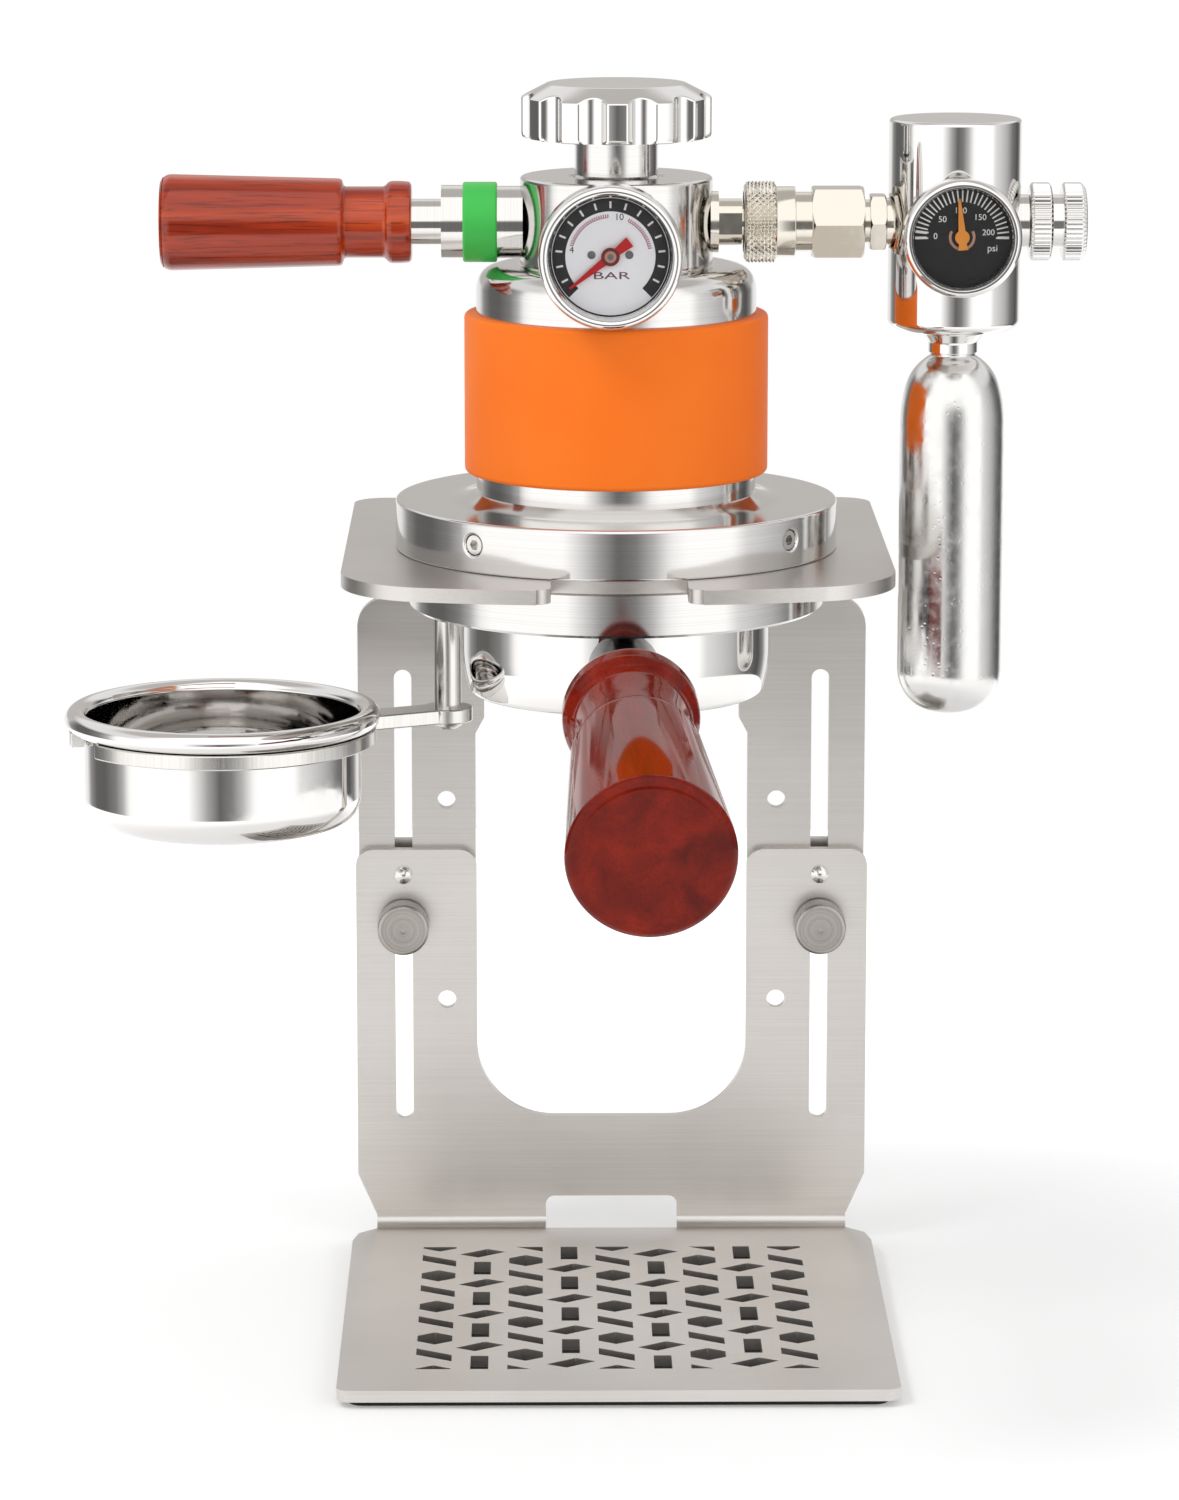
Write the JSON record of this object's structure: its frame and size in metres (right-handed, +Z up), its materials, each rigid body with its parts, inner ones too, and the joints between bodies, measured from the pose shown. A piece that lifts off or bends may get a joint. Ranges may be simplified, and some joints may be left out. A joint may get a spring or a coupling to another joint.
{
  "type": "pneumatic espresso maker",
  "caption": "Compact gas-driven espresso maker on a height-adjustable folded sheet-metal stand, with portafilter, pressure gauges, regulator, cartridge and swing-away drip cup.",
  "frame": {"origin": "on the floor, straight under the vertical axis of the brew group", "axes": "+Z up along the brew group's axis, -Y towards the user and the portafilter's handle, +X towards the gas cartridge"},
  "size_m": [0.2173, 0.2142, 0.2709],
  "materials": {
    "brushed_stainless": "brushed",
    "turned_stainless": "satin",
    "polished_steel": "polished",
    "plated_brass": "polished",
    "brass": "polished",
    "spring_steel": "satin",
    "orange_silicone": "matte",
    "green_silicone": "matte",
    "black_rubber": "matte",
    "seal_rubber": "matte",
    "black_plastic": "gloss",
    "red_wood": "lacquered",
    "dark_red_wood": "lacquered",
    "dial_white": "matte",
    "dial_black": "matte",
    "needle_red": "satin",
    "needle_orange": "satin",
    "gauge_glass": "clear"
  },
  "bodies": {
    "stand": {"base_mat": "black_rubber", "base_bracket": "brushed_stainless", "guide_screws": "polished_steel", "guide_nut_plates": "brushed_stainless"},
    "group": {"upper_bracket": "brushed_stainless", "clamp_studs": "turned_stainless", "brew_chamber": "turned_stainless", "bayonet_ring": "turned_stainless", "flange_grub_screws": "spring_steel", "spigot_seal": "seal_rubber", "silicone_sleeve": "orange_silicone", "group_gasket": "seal_rubber", "shower_screen": "turned_stainless", "screen_screw": "turned_stainless", "top_cap": "turned_stainless", "cap_seal": "seal_rubber", "handle_socket": "turned_stainless", "green_band": "green_silicone", "handle_nut": "turned_stainless", "handle_rod": "polished_steel", "side_grip": "red_wood", "coupler_plug": "plated_brass", "brew_gauge_case": "polished_steel", "brew_gauge_bezel": "polished_steel", "brew_gauge_dial": "dial_white", "brew_gauge_lens": "gauge_glass", "drip_rod": "turned_stainless", "drip_screw": "turned_stainless"},
    "left_knob": {"left_clamp_knob": "turned_stainless"},
    "right_knob": {"right_clamp_knob": "turned_stainless"},
    "fill_seal": {"stem_seal": "seal_rubber"},
    "fill_plug": {"fill_stem": "polished_steel", "fill_knob": "polished_steel"},
    "brew_needle": {"brew_gauge_needle": "needle_red"},
    "portafilter": {"portafilter_body": "polished_steel", "portafilter_bolster": "black_plastic", "portafilter_grip": "dark_red_wood", "filter_basket": "turned_stainless", "basket_spring": "spring_steel"},
    "cup_arm": {"drip_arm": "turned_stainless"},
    "cup": {"drip_cup": "polished_steel"},
    "regulator": {"coupler_body": "plated_brass", "coupler_balls": "spring_steel", "outlet_nut": "plated_brass", "regulator_body": "polished_steel", "regulator_piston": "brass", "regulator_spring": "spring_steel", "piercing_pin": "spring_steel", "reg_gauge_case": "polished_steel", "reg_gauge_bezel": "polished_steel", "reg_gauge_dial": "dial_black", "reg_gauge_lens": "gauge_glass"},
    "release_sleeve": {"coupler_sleeve": "plated_brass", "coupler_spring": "spring_steel"},
    "spring_seat": {"spring_button": "spring_steel"},
    "pressure_knob": {"adjust_knob": "polished_steel"},
    "jam_ring": {"lock_ring": "polished_steel"},
    "neck_seal": {"cartridge_seal": "seal_rubber"},
    "cartridge": {"gas_cartridge": "polished_steel"},
    "reg_needle": {"reg_gauge_needle": "needle_orange"}
  },
  "joints": [
    {"name": "stand_height", "type": "slide", "parent": "stand", "child": "group", "axis": [0, 0, 1], "range_m": [-0.042, 0]},
    {"name": "left_knob_turn", "type": "hinge", "parent": "group", "child": "left_knob", "pos_m": [-0.0472, 0.0676, 0.075], "axis": [0, -1, 0], "range_deg": [0, 360]},
    {"name": "right_knob_turn", "type": "hinge", "parent": "group", "child": "right_knob", "pos_m": [0.0472, 0.0676, 0.075], "axis": [0, -1, 0], "range_deg": [0, 360]},
    {"name": "fill_plug_rise", "type": "slide", "parent": "group", "child": "fill_seal", "axis": [0, 0, 1], "range_m": [0, 0.012]},
    {"name": "fill_knob_turn", "type": "hinge", "parent": "fill_seal", "child": "fill_plug", "pos_m": [0, 0, 0.2595], "axis": [0, 0, 1], "range_deg": [0, 2880]},
    {"name": "brew_needle_turn", "type": "hinge", "parent": "group", "child": "brew_needle", "pos_m": [-0.0017, -0.036, 0.2386], "axis": [0, 1, 0], "range_deg": [-7, 263]},
    {"name": "portafilter_turn", "type": "hinge", "parent": "group", "child": "portafilter", "pos_m": [0, 0, 0.1607], "axis": [0, 0, 1], "range_deg": [-45, 0]},
    {"name": "drip_arm_swing", "type": "hinge", "parent": "group", "child": "cup_arm", "pos_m": [-0.0365, 0.039, 0.1293], "axis": [0, 0, -1], "range_deg": [-108, 30]},
    {"name": "drip_cup_lift", "type": "slide", "parent": "cup_arm", "child": "cup", "axis": [0, 0, 1], "range_m": [0, 0.03]},
    {"name": "regulator_swivel", "type": "hinge", "parent": "group", "child": "regulator", "pos_m": [0.0345, 0, 0.2418], "axis": [1, 0, 0], "continuous": true},
    {"name": "release_sleeve_slide", "type": "slide", "parent": "regulator", "child": "release_sleeve", "axis": [1, 0, 0], "range_m": [0, 0.0025], "stiffness_N_per_m": 800, "springref_m": -0.003},
    {"name": "spring_seat_advance", "type": "slide", "parent": "regulator", "child": "spring_seat", "axis": [1, 0, 0], "range_m": [0, 0.003]},
    {"name": "pressure_knob_turn", "type": "hinge", "parent": "spring_seat", "child": "pressure_knob", "pos_m": [0.094, 0, 0.2418], "axis": [1, 0, 0], "range_deg": [0, 1080]},
    {"name": "jam_ring_turn", "type": "hinge", "parent": "regulator", "child": "jam_ring", "pos_m": [0.089, 0, 0.2418], "axis": [1, 0, 0], "range_deg": [0, 90]},
    {"name": "cartridge_drop", "type": "slide", "parent": "regulator", "child": "neck_seal", "axis": [0, 0, -1], "range_m": [0, 0.00953]},
    {"name": "cartridge_turn", "type": "hinge", "parent": "neck_seal", "child": "cartridge", "pos_m": [0.071, 0, 0.18], "axis": [0, 0, -1], "range_deg": [0, 3240]},
    {"name": "regulator_needle_turn", "type": "hinge", "parent": "regulator", "child": "reg_needle", "pos_m": [0.071, -0.022, 0.2409], "axis": [0, 1, 0], "range_deg": [-85, 95]}
  ],
  "couplings": [
    {"joint": "fill_knob_turn", "follows": "fill_plug_rise", "rad_per_m": 4188.8},
    {"joint": "pressure_knob_turn", "follows": "spring_seat_advance", "rad_per_m": 6283.2},
    {"joint": "cartridge_turn", "follows": "cartridge_drop", "rad_per_m": 5936.9}
  ]
}
